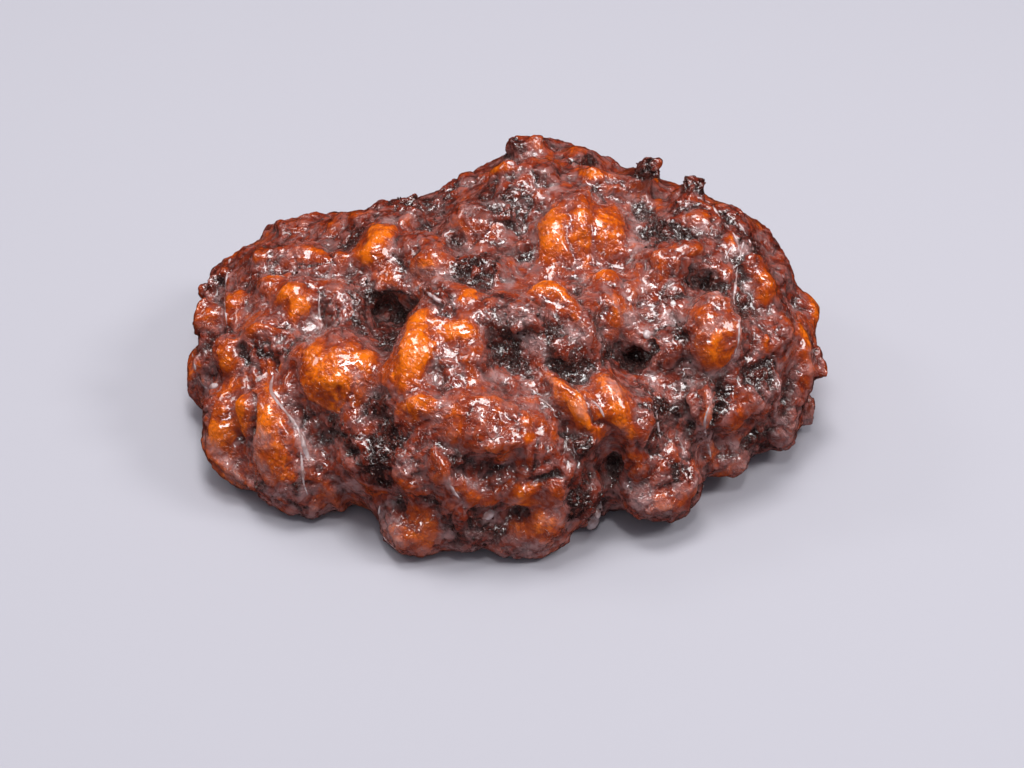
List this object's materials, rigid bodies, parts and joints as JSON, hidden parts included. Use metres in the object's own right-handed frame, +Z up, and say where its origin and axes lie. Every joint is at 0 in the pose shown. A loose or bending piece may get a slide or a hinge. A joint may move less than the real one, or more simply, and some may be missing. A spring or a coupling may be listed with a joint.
{
  "type": "blueberry fritter",
  "caption": "Craggy lump of deep-fried fruit dough with folds, knobs and hollows and a glossy glazed crust, resting on a flat underside; a sweet pastry to eat.",
  "frame": {"origin": "on the surface it rests on, under the middle of the fritter's bounding box", "axes": "+X along the fritter's length, +Y from its front to its back, +Z up"},
  "size_m": [0.138, 0.11, 0.048],
  "materials": {
    "crust": "glazed deep-fried crust, orange on its bulges, red-brown to nearly black on its crags",
    "glaze": "dried sugar glaze, milky and glossy",
    "crumbs": "dark crisp crumbs of batter under glaze"
  },
  "bodies": {
    "root": {"fritter": "crust"}
  },
  "joints": []
}
